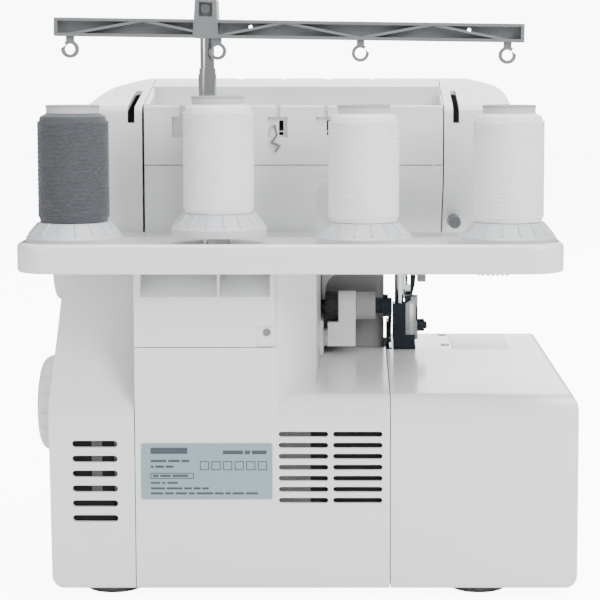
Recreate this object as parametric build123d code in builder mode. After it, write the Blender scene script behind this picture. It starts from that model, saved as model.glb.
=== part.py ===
"""Home serger (overlock) machine with a four-spool stand, as an assembly of separate pieces.

Row frame in millimetres: +Z up, the operator sits at -Y, the handwheel is at +X.
The origin is on the table, under the middle of the machine's outline.
"""
from build123d import *
from math import cos, pi, sin
import os

os.makedirs("parts", exist_ok=True)

# ---------------------------------------------------------------- driving dimensions
WALL = 2.6             # moulded casing wall
SEAM = 0.25            # half the gap between two casings
REAR = 111.0           # rear plane of the base
FRONT = -142.0         # front plane of the base
SIDE_X = 140.0         # handwheel side of the casings
END_X = -160.5         # free end of the bed
SKIRT = 5.0            # lower edge of the casings above the table
BED = 116.0            # cloth-plate height
SPLIT_X = 92.0         # seam between the side casing and the rear covers
END_SPLIT_X = -53.4    # seam between the rear cover and the end cover
COLUMN_X = 11.7        # inner edge of the column at the rear
COLUMN_IN_X = -10.0    # inner side of the column in the throat
PILLAR_X = -52.0       # inner side of the front pillar in the throat
PILLAR_Y = -72.0       # rear face of the front pillar
SHELF_Y = 60.0         # where the column meets the head's rear plane
BRACKET_Z = 144.5      # seam under the spool bracket
HEAD_REAR = 61.0       # rear plane of the head
HEAD_END_X = -125.0    # free end of the head
FACE_SPLIT_X = -85.4   # seam between the head and the face cover
HEAD_FLOOR = 182.0     # underside of the head
COVER_SEAM_Z = 245.2   # seam between upper and lower rear covers
COVER_TOP_Z = 280.6    # top edge of the upper rear cover
HEAD_TOP = 296.0       # highest line of the head
ARM_CORNER = 12.0      # radius where the free arm's underside meets the column
FAR = 400.0            # longer than the machine, for cutting blocks

PANEL = 3.0            # thickness of the spool bracket's rear panel
TRAY_CENTRE_X = 2.5
TRAY_WIDTH = 304.0
TRAY_REAR = 142.0
TRAY_FRONT = 64.0
TRAY_LOW = 189.5
TRAY_TOP = 206.0
TRAY_FLOOR = 203.4     # recessed floor the spools stand on
SPOOL_PITCH = 81.4
SPOOL_Y = 111.0
SPOOL_XS = [TRAY_CENTRE_X + SPOOL_PITCH * k for k in (1.5, 0.5, -0.5, -1.5)]
RAISED_SPOOL = 1       # this spool stands on a cone rest
REST_HEIGHT = 5.0

POLE_X, POLE_Y = 52.5, 71.5
POLE_R, POLE_UPPER_R = 5.3, 4.1
SLEEVE_TOP = 302.0     # top of the lower pole tube
NECK_LOW, NECK_R = 298.6, 4.8    # stepped neck at its top
BAR_Z = 324.6          # centre line of the guide bar at the pole
BAR_TILT = 0.8         # the bar sits this many degrees off level on its pole
BAR_LENGTH, BAR_HEIGHT, BAR_DEPTH = 270.0, 10.6, 8.0
BAR_CENTRE_X = 4.5

WHEEL_Y, WHEEL_Z, WHEEL_R = 15.0, 95.0, 29.5
WHEEL_X = 160.5        # outermost point of the handwheel
SHAFT_R = 5.0
NEEDLE_X, NEEDLE_Y = -65.0, -80.0
PRESSER_X, PRESSER_Y = -62.0, -66.0
KNIFE_Y, KNIFE_Z = -52.0, 147.0   # axis of the upper knife shaft
LIFTER_Y, LIFTER_Z = -80.0, 168.0
TENSION_Y, TENSION_Z, TENSION_R = -70.0, 248.0, 17.0
TENSION_XS = [40.5 - 28.2 * k for k in range(4)]
GUIDE_XS = [68.7, *TENSION_XS]
SLOT_NEAR, SLOT_FAR = 0.6, 3.2   # sides of the dark slot in each guide recess
MOTOR_Y, MOTOR_Z, MOTOR_R = 62.0, 46.0, 26.0
PULLEY_R, MOTOR_PULLEY_R = 30.0, 8.0
PLATE_LOW = 114.0      # underside of the needle plate and the cloth plate
PLATE_END_X = -98.0    # seam between the two plates
KNIFE_EDGE_X = -57.6   # edge of the needle plate beside the knives
COVER_HINGE_Y, COVER_HINGE_Z = -134.0, 10.0
LOOPER_SHAFTS = {"lower": (-76.0, 40.0), "upper": (-34.0, 44.0)}
GAP = 0.3
FOOT_XS, FOOT_YS = (-105.0, 107.0), (-112.0, 86.0)
RUN = 0.05             # radial clearance of a running fit


def save(builder, name):
    """Label a finished piece and write its STEP file."""
    builder.part.label = name
    export_step(builder.part, f"parts/{name}.step")


# ---------------------------------------------------------------- casing outlines
# Each outline is a list of (across, up, corner radius).
SIDE_OUTLINE = [
    (REAR, SKIRT, 2), (REAR, 108, 14), (84, 150, 40), (HEAD_REAR, 192, 30), (HEAD_REAR, 279, 5),
    (-12, 295, 40), (-40, HEAD_TOP, 12), (-66, 288, 12), (-92, 222, 20), (-96, 150, 16),
    (-134, 118, 14), (FRONT, 96, 14), (FRONT, SKIRT, 2),
]
HEAD_OUTLINE = [
    (HEAD_REAR, 236, 26), (HEAD_REAR, 279, 5), (-12, 295, 40), (-40, HEAD_TOP, 12), (-66, 288, 12),
    (-92, 222, 20), (-94, HEAD_FLOOR, 8), (20, HEAD_FLOOR, 24),
]
COLUMN_HEAD_OUTLINE = [
    (HEAD_REAR, HEAD_FLOOR + 8.5, 0), (HEAD_REAR, 279, 5), (-12, 295, 40), (-40, HEAD_TOP, 12), (-66, 288, 12),
    (-92, 222, 20), (-94, HEAD_FLOOR, 8), (SHELF_Y - 4, HEAD_FLOOR, 0), (SHELF_Y - 4, HEAD_FLOOR + 8.5, 0),
]
BED_OUTLINE = [(REAR, SKIRT, 2), (REAR, BED, 13), (FRONT, BED, 8), (FRONT, SKIRT, 2)]
SIDE_END = [(SIDE_X, SKIRT, 8), (141, 115, 30), (138, 190, 60), (130, 266, 30), (121, 289, 20)]
HEAD_END = [(FACE_SPLIT_X, 297, 0), (-100, 297, 30), (HEAD_END_X, 290, 11), (HEAD_END_X, HEAD_FLOOR, 10)]
BED_END = [(END_SPLIT_X, BED, 0), (END_X, BED, 6), (END_X, SKIRT, 8), (END_SPLIT_X, SKIRT, 0)]


def outline(corners, inset=0.0):
    """A closed outline with rounded corners, taken in by a wall where one is asked for."""
    with BuildSketch() as drawing:
        with BuildLine():
            Polyline(*[(across, up) for across, up, _ in corners], close=True)
        make_face()
        for across, up, radius in corners:
            if radius:
                fillet(drawing.vertices().sort_by_distance((across, up, 0))[:1], radius)
        if inset:
            offset(amount=-inset, kind=Kind.INTERSECTION, mode=Mode.REPLACE)
    return drawing.sketch


def side_block(corners, x_low, x_high, inset=0.0):
    """A block with a side outline, between two X planes."""
    face = outline(corners, inset)
    with BuildPart() as block:
        with BuildSketch(Plane.YZ.offset(x_low)):
            add(face)
        extrude(amount=x_high - x_low)
    return block.part


def end_block(corners, inset=0.0):
    """A block with an outline seen from behind, right through the machine."""
    face = outline(corners, inset)
    with BuildPart() as block:
        with BuildSketch(Plane.XZ.offset(-FAR / 2)):
            add(face)
        extrude(amount=FAR)
    return block.part


def slab(x_low, x_high, y_low, y_high, z_low, z_high):
    """A plain block between limits, kept out of the builder that calls it."""
    size = (x_high - x_low, y_high - y_low, z_high - z_low)
    middle = ((x_low + x_high) / 2, (y_low + y_high) / 2, (z_low + z_high) / 2)
    return Pos(*middle) * Box(*size, mode=Mode.PRIVATE)


# ---------------------------------------------------------------- casings
def side_casing():
    """Tall casing on the handwheel side, from the table to the top of the head."""
    low = SPLIT_X + SEAM
    end = [*SIDE_END, (low, 297.5, 0), (low, SKIRT, 0)]
    inner_end = [*SIDE_END, (low - 3 * WALL, 297.5, 0), (low - 3 * WALL, SKIRT, 0)]
    skin = side_block(SIDE_OUTLINE, low, SIDE_X + 5)
    core = side_block(SIDE_OUTLINE, low - 10, SIDE_X, WALL)
    inner_mask = end_block(inner_end, WALL)
    with BuildPart() as piece:
        add(skin)
        add(end_block(end), mode=Mode.INTERSECT)
        add(core & inner_mask, mode=Mode.SUBTRACT)
        with BuildSketch(Plane.YZ.offset(SIDE_X - 12)):  # shaft and dial openings
            with Locations((WHEEL_Y, WHEEL_Z)):
                Circle(SHAFT_R + 2)
            with Locations((0, 181), (-55, 185)):
                Circle(4 + RUN)
        extrude(amount=30, mode=Mode.SUBTRACT)
        with BuildSketch(Plane.XZ.offset(-REAR - 1)):  # rear vents
            with Locations(*[(114.8, 46.0 + 8.6 * k) for k in range(6)]):
                SlotOverall(26, 3.9)
        extrude(amount=12, mode=Mode.SUBTRACT)
        with BuildSketch(Plane.XY.offset(270)):  # carrying slot in the shoulder
            with Locations((98.6, 40)):
                SlotOverall(46, 4.2, rotation=90)
        extrude(amount=40, mode=Mode.SUBTRACT)
        with BuildSketch(Plane.YZ.offset(SIDE_X - 12)):  # switch and inlet openings
            with Locations((-70, 42)):
                Rectangle(31, 22)
            with Locations((-112, 42)):
                Rectangle(14, 20)
        extrude(amount=30, mode=Mode.SUBTRACT)
    save(piece, "side_casing")


def column_plan(low_y, across=0.0, forward=0.0):
    """Plan outline of the rear column, whose inner side curves in towards the throat."""
    high_x = SPLIT_X - SEAM
    with BuildSketch() as drawing:
        with BuildLine():
            Polyline(
                (COLUMN_IN_X + across, low_y - forward), (high_x + across, low_y - forward),
                (high_x + across, REAR - forward), (COLUMN_X + across, REAR - forward))
            ThreePointArc(
                (COLUMN_X + across, REAR - forward), (-1.0 + across, 84.0), (COLUMN_IN_X + across, low_y - forward))
        make_face()
    return drawing.sketch


def rear_cover():
    """Rear and throat-side bed casing with the lower part of the column."""
    low, high = END_SPLIT_X + SEAM, SPLIT_X - SEAM
    top = BRACKET_Z - SEAM
    core = side_block(BED_OUTLINE, low - 1, high + 1, WALL)
    with BuildPart() as piece:
        add(side_block(BED_OUTLINE, low, high))
        with BuildSketch(Plane.XY.offset(BED - 20)):
            add(column_plan(SHELF_Y))
        extrude(amount=TRAY_LOW - GAP - BED + 20)
        add(core, mode=Mode.SUBTRACT)
        with BuildSketch(Plane.XY.offset(BED - 21)):
            add(column_plan(SHELF_Y, WALL, WALL))
        extrude(amount=FAR, mode=Mode.SUBTRACT)
        add(slab(COLUMN_IN_X - 1, high + 1, REAR - PANEL, FAR, top, FAR), mode=Mode.SUBTRACT)
        add(slab(low - 1, high + 1, FRONT - 1, PILLAR_Y - 1, 0, BED + 1), mode=Mode.SUBTRACT)
        add(slab(COLUMN_IN_X, high + 1, PILLAR_Y - 2, SHELF_Y - 1, BED - 5, BED + 1), mode=Mode.SUBTRACT)
        add(slab(low - 1, high + 1, PILLAR_Y - 2, REAR - 8, 0, SKIRT + 3), mode=Mode.SUBTRACT)
        with BuildSketch(Plane.XZ.offset(-REAR - 1)):
            with GridLocations(30.9, 6.37, 2, 7):
                with Locations((-19.4, 75.5)):
                    SlotOverall(28.2, 3.1)
        extrude(amount=8, mode=Mode.SUBTRACT)
    save(piece, "rear_cover")


def spool_bracket():
    """Upper rear column piece that carries the spool tray, with pockets between three gussets."""
    low_z, high_z = BRACKET_Z + SEAM, TRAY_LOW
    high_x = SPLIT_X - SEAM
    with BuildPart() as piece:
        with BuildSketch(Plane.XY.offset(low_z)):
            add(column_plan(HEAD_REAR + 2 * SEAM, 2 * WALL))
        extrude(amount=high_z - low_z)
        add(slab(COLUMN_X - 1, FAR, REAR - PANEL, FAR, 0, FAR), mode=Mode.SUBTRACT)
        add(slab(high_x, FAR, 0, FAR, 0, FAR), mode=Mode.SUBTRACT)
        add(slab(COLUMN_X + 0.4, high_x, REAR - PANEL + GAP, REAR, low_z, high_z))
        add(slab(COLUMN_X + 8, high_x, REAR - PANEL - 1, REAR - 1, low_z, high_z))
        fillet(piece.edges().filter_by(Axis.Z).sort_by_distance((COLUMN_X, REAR, 165))[:1], 1.6)
        with BuildSketch(Plane.XY.offset(low_z - 1)):
            add(column_plan(HEAD_REAR + WALL, 3 * WALL, WALL))
        extrude(amount=high_z - low_z - 22, mode=Mode.SUBTRACT)
        for x_low, x_high in ((COLUMN_X + 3.0, 43.2), (44.6, SPLIT_X - 4)):  # scoops under the tray
            with BuildSketch(Plane.YZ.offset(x_low)):
                with BuildLine():
                    Polyline((REAR + 1, 172.5), (REAR + 1, high_z + 1), (84, high_z + 1), close=True)
                make_face()
            extrude(amount=x_high - x_low, mode=Mode.SUBTRACT)
        with BuildSketch(Plane.XZ.offset(-REAR - 1)):  # recess around the bracket screw
            with Locations((COLUMN_X + 5.5, BRACKET_Z + 6)):
                RectangleRounded(11.5, 12.5, 2.5)
        extrude(amount=2.6, mode=Mode.SUBTRACT)
        with BuildSketch(Plane.XZ.offset(-REAR)):
            with Locations((COLUMN_X + 5.0, BRACKET_Z + 8.4)):
                Circle(2.2)
        extrude(amount=12, mode=Mode.SUBTRACT)
        with Locations((POLE_X, POLE_Y, high_z)):
            Cylinder(POLE_R + RUN, 30, mode=Mode.SUBTRACT)
    save(piece, "spool_bracket")


def end_cover():
    """Free end of the bed: cloth plate, end wall and rear wall in one moulding."""
    high = END_SPLIT_X - SEAM
    inner_end = [(high + 9, BED, 0), (END_X, BED, 6), (END_X, SKIRT, 8), (high + 9, SKIRT, 0)]
    core = side_block(BED_OUTLINE, END_X, high + 1, WALL)
    with BuildPart() as piece:
        add(side_block(BED_OUTLINE, END_X - 1, high))
        add(end_block([(high, BED, 0), (END_X, BED, 6), (END_X, SKIRT, 8), (high, SKIRT, 0)]), mode=Mode.INTERSECT)
        add(core & end_block(inner_end, WALL), mode=Mode.SUBTRACT)
        add(slab(END_X + 6, high + 1, FRONT + 6, REAR - 8, 0, SKIRT + 3), mode=Mode.SUBTRACT)
        add(slab(-135.0, high + 1, -FAR, -63, BED - 5, BED + 1), mode=Mode.SUBTRACT)  # needle-plate opening
        add(slab(-104.0, high + 1, -FAR, -120, 0, BED + 1), mode=Mode.SUBTRACT)  # looper opening
    save(piece, "end_cover")


def column_cover():
    """Column and front pillar casing between the bed and the head."""
    high = SPLIT_X - SEAM
    low_z, high_z = BED + 2 * SEAM, HEAD_FLOOR - 2 * SEAM

    def plan(inset):
        Polyline(
            (high + 3 * inset, SHELF_Y - SEAM - inset), (COLUMN_IN_X + inset, SHELF_Y - SEAM - inset),
            (COLUMN_IN_X + inset, PILLAR_Y - inset), (PILLAR_X + inset, PILLAR_Y - inset),
            (PILLAR_X + inset, -94 + inset), (high + 3 * inset, -94 + inset), close=True)

    with BuildPart() as piece:
        with BuildSketch(Plane.XY.offset(low_z)):
            with BuildLine():
                plan(0)
            make_face()
        extrude(amount=high_z - low_z)
        pillar_edges = piece.edges().filter_by(Axis.Z).group_by(Axis.X)[0]
        fillet(pillar_edges, 6)
        with BuildSketch(Plane.XY.offset(low_z - 1)):
            with BuildLine():
                plan(WALL)
            make_face()
        extrude(amount=high_z - low_z + 2, mode=Mode.SUBTRACT)
        add(slab(-12, -5, -61, -43, 0, 131), mode=Mode.SUBTRACT)  # knife bracket mounting
        with BuildSketch(Plane.YZ.offset(-12)):
            with Locations((KNIFE_Y, KNIFE_Z)):
                Circle(5)
        extrude(amount=8, mode=Mode.SUBTRACT)
    save(piece, "column_cover")


def head_core(inset=0.0):
    """The head between the face cover and the side casing: free part and part over the column."""
    low, high = FACE_SPLIT_X + SEAM, SPLIT_X - SEAM
    grow = 1 if inset else 0
    free = side_block(HEAD_OUTLINE, low - grow, COLUMN_IN_X + WALL * grow, inset)
    over = side_block(COLUMN_HEAD_OUTLINE, COLUMN_IN_X + WALL * grow, high + grow, inset)
    return free + over


def head_shell():
    """Top, front and underside of the head, with the carrying well and the tension slots."""
    with BuildPart() as piece:
        add(head_core())
        add(head_core(WALL), mode=Mode.SUBTRACT)
        add(slab(-FAR, FAR, 20, FAR, 0, COVER_TOP_Z), mode=Mode.SUBTRACT)  # rear covers sit here
        add(slab(-84.0, 88.0, 26, FAR, 278.6, 300), mode=Mode.SUBTRACT)  # carrying well
        with Locations((2, 42, 277.3)):
            Box(174, 32, WALL)
        with Locations((2, 26 - WALL / 2, 283.5)):
            Box(174, WALL, 15)
        for x in (-85.0, 88.0):
            with BuildSketch(Plane.YZ.offset(x)):
                with BuildLine():
                    Polyline((26, 276), (58, 276), (58, 281.0), (26, 287.0), close=True)
                make_face()
            extrude(amount=1)
        for x in TENSION_XS:  # slots for the tension dials and the thread
            add(slab(x - 5.2, x + 5.2, -FAR, -60, 226, 272), mode=Mode.SUBTRACT)
            add(slab(x - 1.6, x + 1.6, -FAR, -22, 292.2, 300), mode=Mode.SUBTRACT)
        with Locations((NEEDLE_X, -80, HEAD_FLOOR)):
            Box(34, 44, 12, mode=Mode.SUBTRACT)
        add(slab(COLUMN_IN_X + 3, SPLIT_X, -82, SHELF_Y - 6, 180, 187), mode=Mode.SUBTRACT)  # into the column
    save(piece, "head_shell")


def rear_upper_cover():
    """Cover at the top of the head's rear with recesses for the thread guides."""
    low, high = FACE_SPLIT_X + 2 * SEAM, SPLIT_X - 2 * SEAM - 0.6
    middle, height = (low + high) / 2, COVER_TOP_Z - COVER_SEAM_Z - 2 * SEAM
    with BuildPart() as piece:
        with Locations((middle, HEAD_REAR - WALL / 2, COVER_SEAM_Z + SEAM + height / 2)):
            Box(high - low, WALL, height)
        with Locations(*[(x, HEAD_REAR - 3.5, 267.8) for x in GUIDE_XS]):
            Box(14, 7, 15)
        fillet(piece.edges().filter_by(Axis.X).group_by(Axis.Z)[-1].sort_by(Axis.Y)[-1:], 1.5)
        for x in GUIDE_XS:
            add(slab(x - 5.8, x + 5.8, HEAD_REAR - 4, HEAD_REAR + 1, 261.6, 273.6), mode=Mode.SUBTRACT)
            add(slab(x - 1.5, x + 1.5, HEAD_REAR - 2, HEAD_REAR + 1, 272, 282), mode=Mode.SUBTRACT)
            add(slab(x - SLOT_FAR, x - SLOT_NEAR, HEAD_REAR - 8, HEAD_REAR - 3, 262.8, 271.4), mode=Mode.SUBTRACT)
    save(piece, "rear_upper_cover")


def rear_lower_cover():
    """Cover below it, flat over the column and rolling under the free arm."""
    with BuildPart() as piece:
        add(head_core())
        add(head_core(WALL), mode=Mode.SUBTRACT)
        keep = slab(FACE_SPLIT_X + 2 * SEAM, SPLIT_X - 2 * SEAM - 0.6, 20.5, FAR, 0, COVER_SEAM_Z - SEAM)
        add(keep, mode=Mode.INTERSECT)
        add(slab(COLUMN_IN_X + 0.4, FAR, 0, SHELF_Y - WALL, 0, 300), mode=Mode.SUBTRACT)
        add(slab(COLUMN_IN_X - 0.1, FAR, 0, FAR, 0, TRAY_LOW + 0.4), mode=Mode.SUBTRACT)
        with BuildSketch(Plane.XZ.offset(-HEAD_REAR)):  # rounded corner where the arm meets the column
            with Locations((COLUMN_IN_X - ARM_CORNER / 2, 238 - ARM_CORNER / 2)):
                Rectangle(ARM_CORNER, ARM_CORNER)
            with Locations((COLUMN_IN_X - ARM_CORNER, 238 - ARM_CORNER)):
                Circle(ARM_CORNER, mode=Mode.SUBTRACT)
        extrude(amount=14)
    save(piece, "rear_lower_cover")


def face_cover():
    """End cap of the head over the needle mechanism."""
    high = FACE_SPLIT_X - SEAM
    inner_end = [(high + 9, 297, 0), *HEAD_END[1:], (high + 9, HEAD_FLOOR, 0)]
    outer_end = [*HEAD_END, (FACE_SPLIT_X, HEAD_FLOOR, 0)]
    core = side_block(HEAD_OUTLINE, HEAD_END_X - 1, high + 1, WALL)
    with BuildPart() as piece:
        add(side_block(HEAD_OUTLINE, HEAD_END_X - 1, high))
        add(end_block(outer_end), mode=Mode.INTERSECT)
        add(core & end_block(inner_end, WALL), mode=Mode.SUBTRACT)
        with BuildSketch(Plane.XY.offset(270)):
            with Locations((-92.6, 40)):
                SlotOverall(46, 3.6, rotation=90)
        extrude(amount=40, mode=Mode.SUBTRACT)
        with BuildSketch(Plane.XZ.offset(-HEAD_REAR - 1)):
            with Locations((-92.3, 211)):
                Circle(3.9)
        extrude(amount=30, mode=Mode.SUBTRACT)
    save(piece, "face_cover")



# ---------------------------------------------------------------- bed plates, front cover, base
def bed_plate(name, x_low, x_high, holes=()):
    """A steel or moulded plate let into the bed, following its rounded front edge."""
    with BuildPart() as piece:
        add(slab(x_low, x_high, FRONT + 0.6, -63 - GAP, PLATE_LOW, BED))
        add(side_block(BED_OUTLINE, x_low - 1, x_high + 1), mode=Mode.INTERSECT)
        for hole in holes:
            add(slab(*hole, PLATE_LOW - 1, BED + 1), mode=Mode.SUBTRACT)
        for x, y in PLATE_SCREWS:
            with Locations((x, y, BED)):
                Cylinder(SCREW_R + 0.1, 8, mode=Mode.SUBTRACT)
    save(piece, name)


SCREW_R = 3.0
PLATE_SCREWS = [(-93.5, -83.0), (-93.5, -128.0)]
FEED_ROWS = [(-72.6, -70.4), (-60.6, -58.9)]
bed_plate("needle_plate", PLATE_END_X + 0.15, KNIFE_EDGE_X, [
    *[(low - 0.5, high + 0.5, -95.6, -66.4) for low, high in FEED_ROWS],
    (NEEDLE_X - 3.2, NEEDLE_X + 3.0, NEEDLE_Y - 1.2, NEEDLE_Y + 1.2),
])
bed_plate("cloth_plate", -135.0 + GAP, PLATE_END_X - 0.15)

with BuildPart() as screws:
    for x, y in PLATE_SCREWS:
        with Locations((x, y, BED - 0.2)):
            Cylinder(SCREW_R, 1.4)
            Box(5, 0.9, 1.6, mode=Mode.SUBTRACT)
    with BuildSketch(Plane.XZ.offset(-109.9)):
        with Locations((COLUMN_X + 5.0, BRACKET_Z + 8.4)):
            Circle(2.1)
    extrude(amount=11)
    with BuildSketch(Plane.XZ.offset(-58.0)):
        with Locations((-92.3, 211)):
            Circle(3.6)
    extrude(amount=14)
    with BuildSketch(Plane.XZ.offset(-58.0)):
        with Locations((-92.3, 211)):
            Rectangle(4.6, 1.0)
            Rectangle(1.0, 4.6)
    extrude(amount=1.4, mode=Mode.SUBTRACT)
save(screws, "screws")

COVER_LOW, COVER_HIGH = -103.7, SPLIT_X - SEAM
COVER_EARS = (-21.0, 69.0)
with BuildPart() as front_cover:
    add(side_block(BED_OUTLINE, COVER_LOW, COVER_HIGH))
    add(side_block(BED_OUTLINE, COVER_LOW + WALL, COVER_HIGH - WALL, WALL), mode=Mode.SUBTRACT)
    add(slab(-FAR, FAR, -97 - GAP, FAR, 0, FAR), mode=Mode.SUBTRACT)
    add(slab(-FAR, FAR, -128, FAR, 0, BED - WALL), mode=Mode.SUBTRACT)
    add(slab(-FAR, FAR, FRONT + WALL, FAR, 0, 9), mode=Mode.SUBTRACT)
    add(slab(-FAR, PILLAR_X + GAP, -FAR, FAR, PLATE_LOW - 1.2, FAR), mode=Mode.SUBTRACT)
    with Locations(*[(x, -134.6, COVER_HINGE_Z) for x in COVER_EARS]):
        Box(5.2, 10, 7)
    with BuildSketch(Plane.YZ.offset(-30)):
        with Locations((COVER_HINGE_Y, COVER_HINGE_Z)):
            Circle(2 + RUN)
    extrude(amount=105, mode=Mode.SUBTRACT)
save(front_cover, "front_cover")

PAN_TOP = 7.5
with BuildPart() as bottom_pan:
    add(slab(END_X + 6 + GAP, SPLIT_X - 1, -124, REAR - 8 - GAP, SKIRT, PAN_TOP))
    for x in COVER_EARS:  # lugs with the pins the front cover turns on
        for side in (-1, 1):
            with Locations((x + side * 5.6, -129.5, COVER_HINGE_Z)):
                Box(5, 15, 6)
            with Locations((x + side * 5.6, -120.0, COVER_HINGE_Z - 1)):
                Box(5, 8, 8)
        with BuildSketch(Plane.YZ.offset(x - 4)):
            with Locations((COVER_HINGE_Y, COVER_HINGE_Z)):
                Circle(2)
        extrude(amount=8)
    with GridLocations(18, 26, 5, 3):
        with Locations((-34, 14, 6)):
            Cylinder(2.5, 8, mode=Mode.SUBTRACT)
save(bottom_pan, "bottom_pan")

with BuildPart() as rubber_feet:
    for x in FOOT_XS:
        for y in FOOT_YS:
            with Locations((x, y, SKIRT / 2)):
                Cylinder(17, SKIRT)
    fillet(rubber_feet.edges().filter_by(GeomType.CIRCLE).group_by(Axis.Z)[0], 1.2)
save(rubber_feet, "rubber_feet")

with BuildPart() as rating_plate:
    with BuildSketch(Plane.XZ.offset(-REAR)):
        with Locations((51.1, 73.4)):
            RectangleRounded(74.6, 32.2, 1.2)
    extrude(amount=-0.6)
save(rating_plate, "rating_plate")

# ---------------------------------------------------------------- cast frame
with BuildPart() as chassis:
    add(slab(-100, 85, -115.5, 100, PAN_TOP, 12.5))
    add(slab(78, 84, -60, 50, 8, 274))          # column wall on the handwheel side
    add(slab(0, 6, -60, 50, 8, 240))            # column wall on the needle side
    add(slab(-76, 84, -30, -18, 196, 240))      # upper arm
    add(slab(-76, -50, -87, -18, 188, 200))     # guides of the needle and presser bars
    add(slab(-80, -74.5, -87, -73, 160, 200))   # hanger of the presser lifter
    add(slab(-95, -12, -76, -70, 8, 72))        # looper bearing wall
    add(slab(-98, -88, -76, -70, 8, PLATE_LOW))
    add(slab(-130, -120, -100, -90, 8, PLATE_LOW))
    add(slab(-130, -96, -100, -90, 8, 12.5))
    add(slab(-74, -56, -64, -54, 8, 110))       # feed-bar guide
    add(slab(20, 60, 48, 76, 8, MOTOR_Z - MOTOR_R))
    add(slab(-10.2, 0, -60, -44, 118, 130))     # mounting of the knife bracket
    for x in (-54.0, 58.0):
        add(slab(x - 2, x + 2, TENSION_Y - 5, -18, 232, 254))
    with BuildSketch(Plane.YZ.offset(-54)):
        with Locations((TENSION_Y, TENSION_Z)):
            Circle(3)
    extrude(amount=112)
    with BuildSketch(Plane.YZ.offset(-12)):
        with Locations((WHEEL_Y, WHEEL_Z)):
            Circle(SHAFT_R + RUN)
    extrude(amount=100, mode=Mode.SUBTRACT)
    with BuildSketch(Plane.YZ.offset(-1)):
        with Locations((KNIFE_Y, KNIFE_Z)):
            Circle(4 + RUN)
    extrude(amount=10, mode=Mode.SUBTRACT)
    with BuildSketch(Plane.YZ.offset(-82)):
        with Locations((LIFTER_Y, LIFTER_Z)):
            Circle(3 + RUN)
    extrude(amount=10, mode=Mode.SUBTRACT)
    for x, z in LOOPER_SHAFTS.values():
        with BuildSketch(Plane.XZ.offset(60)):
            with Locations((x, z)):
                Circle(4 + RUN)
        extrude(amount=30, mode=Mode.SUBTRACT)
    for x, y in ((NEEDLE_X, NEEDLE_Y), (PRESSER_X, PRESSER_Y)):
        with Locations((x, y, 194)):
            Cylinder(3 + RUN, 20, mode=Mode.SUBTRACT)
    add(slab(-69.05, -60.95, -66, -52, 97.95, 104.05), mode=Mode.SUBTRACT)
save(chassis, "chassis")


# ---------------------------------------------------------------- turning parts on X axes
def x_cylinder(y, z, radius, x_low, x_high):
    """A cylinder lying along X, kept out of the builder that calls it."""
    place = Pos((x_low + x_high) / 2, y, z) * Rot(0, 90, 0)
    return place * Cylinder(radius, x_high - x_low, mode=Mode.PRIVATE)


def wheel(name, y, z, radius, x_low, x_high, flutes=0, depth=0.0, dome=0.0, bore=None, stem=None):
    """A wheel or knob along X with a rounded outer edge and grip flutes; bore and stem are (radius, from, to)."""
    with BuildPart() as piece:
        add(x_cylinder(y, z, radius, x_low, x_high))
        if dome:
            fillet(piece.edges().filter_by(GeomType.CIRCLE).group_by(Axis.X)[-1], dome)
        for k in range(flutes):
            turn = 2 * pi * k / flutes
            reach = radius + depth
            add(x_cylinder(y + reach * cos(turn), z + reach * sin(turn), 2 * depth, x_low - 1, x_high + 1),
                mode=Mode.SUBTRACT)
        if stem:
            add(x_cylinder(y, z, *stem))
        if bore:
            add(x_cylinder(y, z, *bore), mode=Mode.SUBTRACT)
    save(piece, name)


wheel("handwheel", WHEEL_Y, WHEEL_Z, WHEEL_R, 141.9, WHEEL_X, 18, 1.4, 6.4, bore=(SHAFT_R, 141, 150))
wheel("stitch_dial", 0, 181, 23, 140.2, 153, 24, 0.9, 2.5, stem=(4, 130, 141))
wheel("differential_dial", -55, 185, 20, 140.2, 151, 22, 0.9, 2.5, stem=(4, 130, 141))
wheel("knife_knob", KNIFE_Y, KNIFE_Z, 9.5, -21.5, -13.2, 20, 0.5, 0.8, bore=(4, -23, -12))
wheel("main_pulley", WHEEL_Y, WHEEL_Z, PULLEY_R, 104, 114, bore=(SHAFT_R, 100, 120))
for k, x in enumerate(TENSION_XS, start=1):
    wheel(f"tension_dial_{k}", TENSION_Y, TENSION_Z, TENSION_R, x - 4.7, x + 4.7, 30, 0.4,
          bore=(3 + RUN, x - 6, x + 6))
wheel("main_shaft", WHEEL_Y, WHEEL_Z, SHAFT_R, -12, 150)
wheel("motor", MOTOR_Y, MOTOR_Z, MOTOR_R, 14, 70, bore=(3 + RUN, 55, 75))
wheel("motor_pulley", MOTOR_Y, MOTOR_Z, MOTOR_PULLEY_R, 104, 114, stem=(3, 56, 105))

BELT = 2.0
BELT_GAP = 0.4
with BuildPart() as drive_belt:
    for thick, mode in ((BELT, Mode.ADD), (0.0, Mode.SUBTRACT)):
        with BuildSketch(Plane.YZ.offset(105)):
            with Locations((WHEEL_Y, WHEEL_Z)):
                Circle(PULLEY_R + BELT_GAP + thick)
            with Locations((MOTOR_Y, MOTOR_Z)):
                Circle(MOTOR_PULLEY_R + BELT_GAP + thick)
            make_hull()
        extrude(amount=8, mode=mode)
save(drive_belt, "drive_belt")

# ---------------------------------------------------------------- power
with BuildPart() as power_inlet:
    add(slab(126, SIDE_X + 0.6, -85.5 + GAP, -54.5 - GAP, 31 + GAP, 53 - GAP))
    add(slab(130, SIDE_X + 1, -82, -58, 35, 49), mode=Mode.SUBTRACT)
    for y in (-77, -70, -63):
        add(slab(129, 138, y - 0.9, y + 0.9, 40, 44))
save(power_inlet, "power_inlet")

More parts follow.
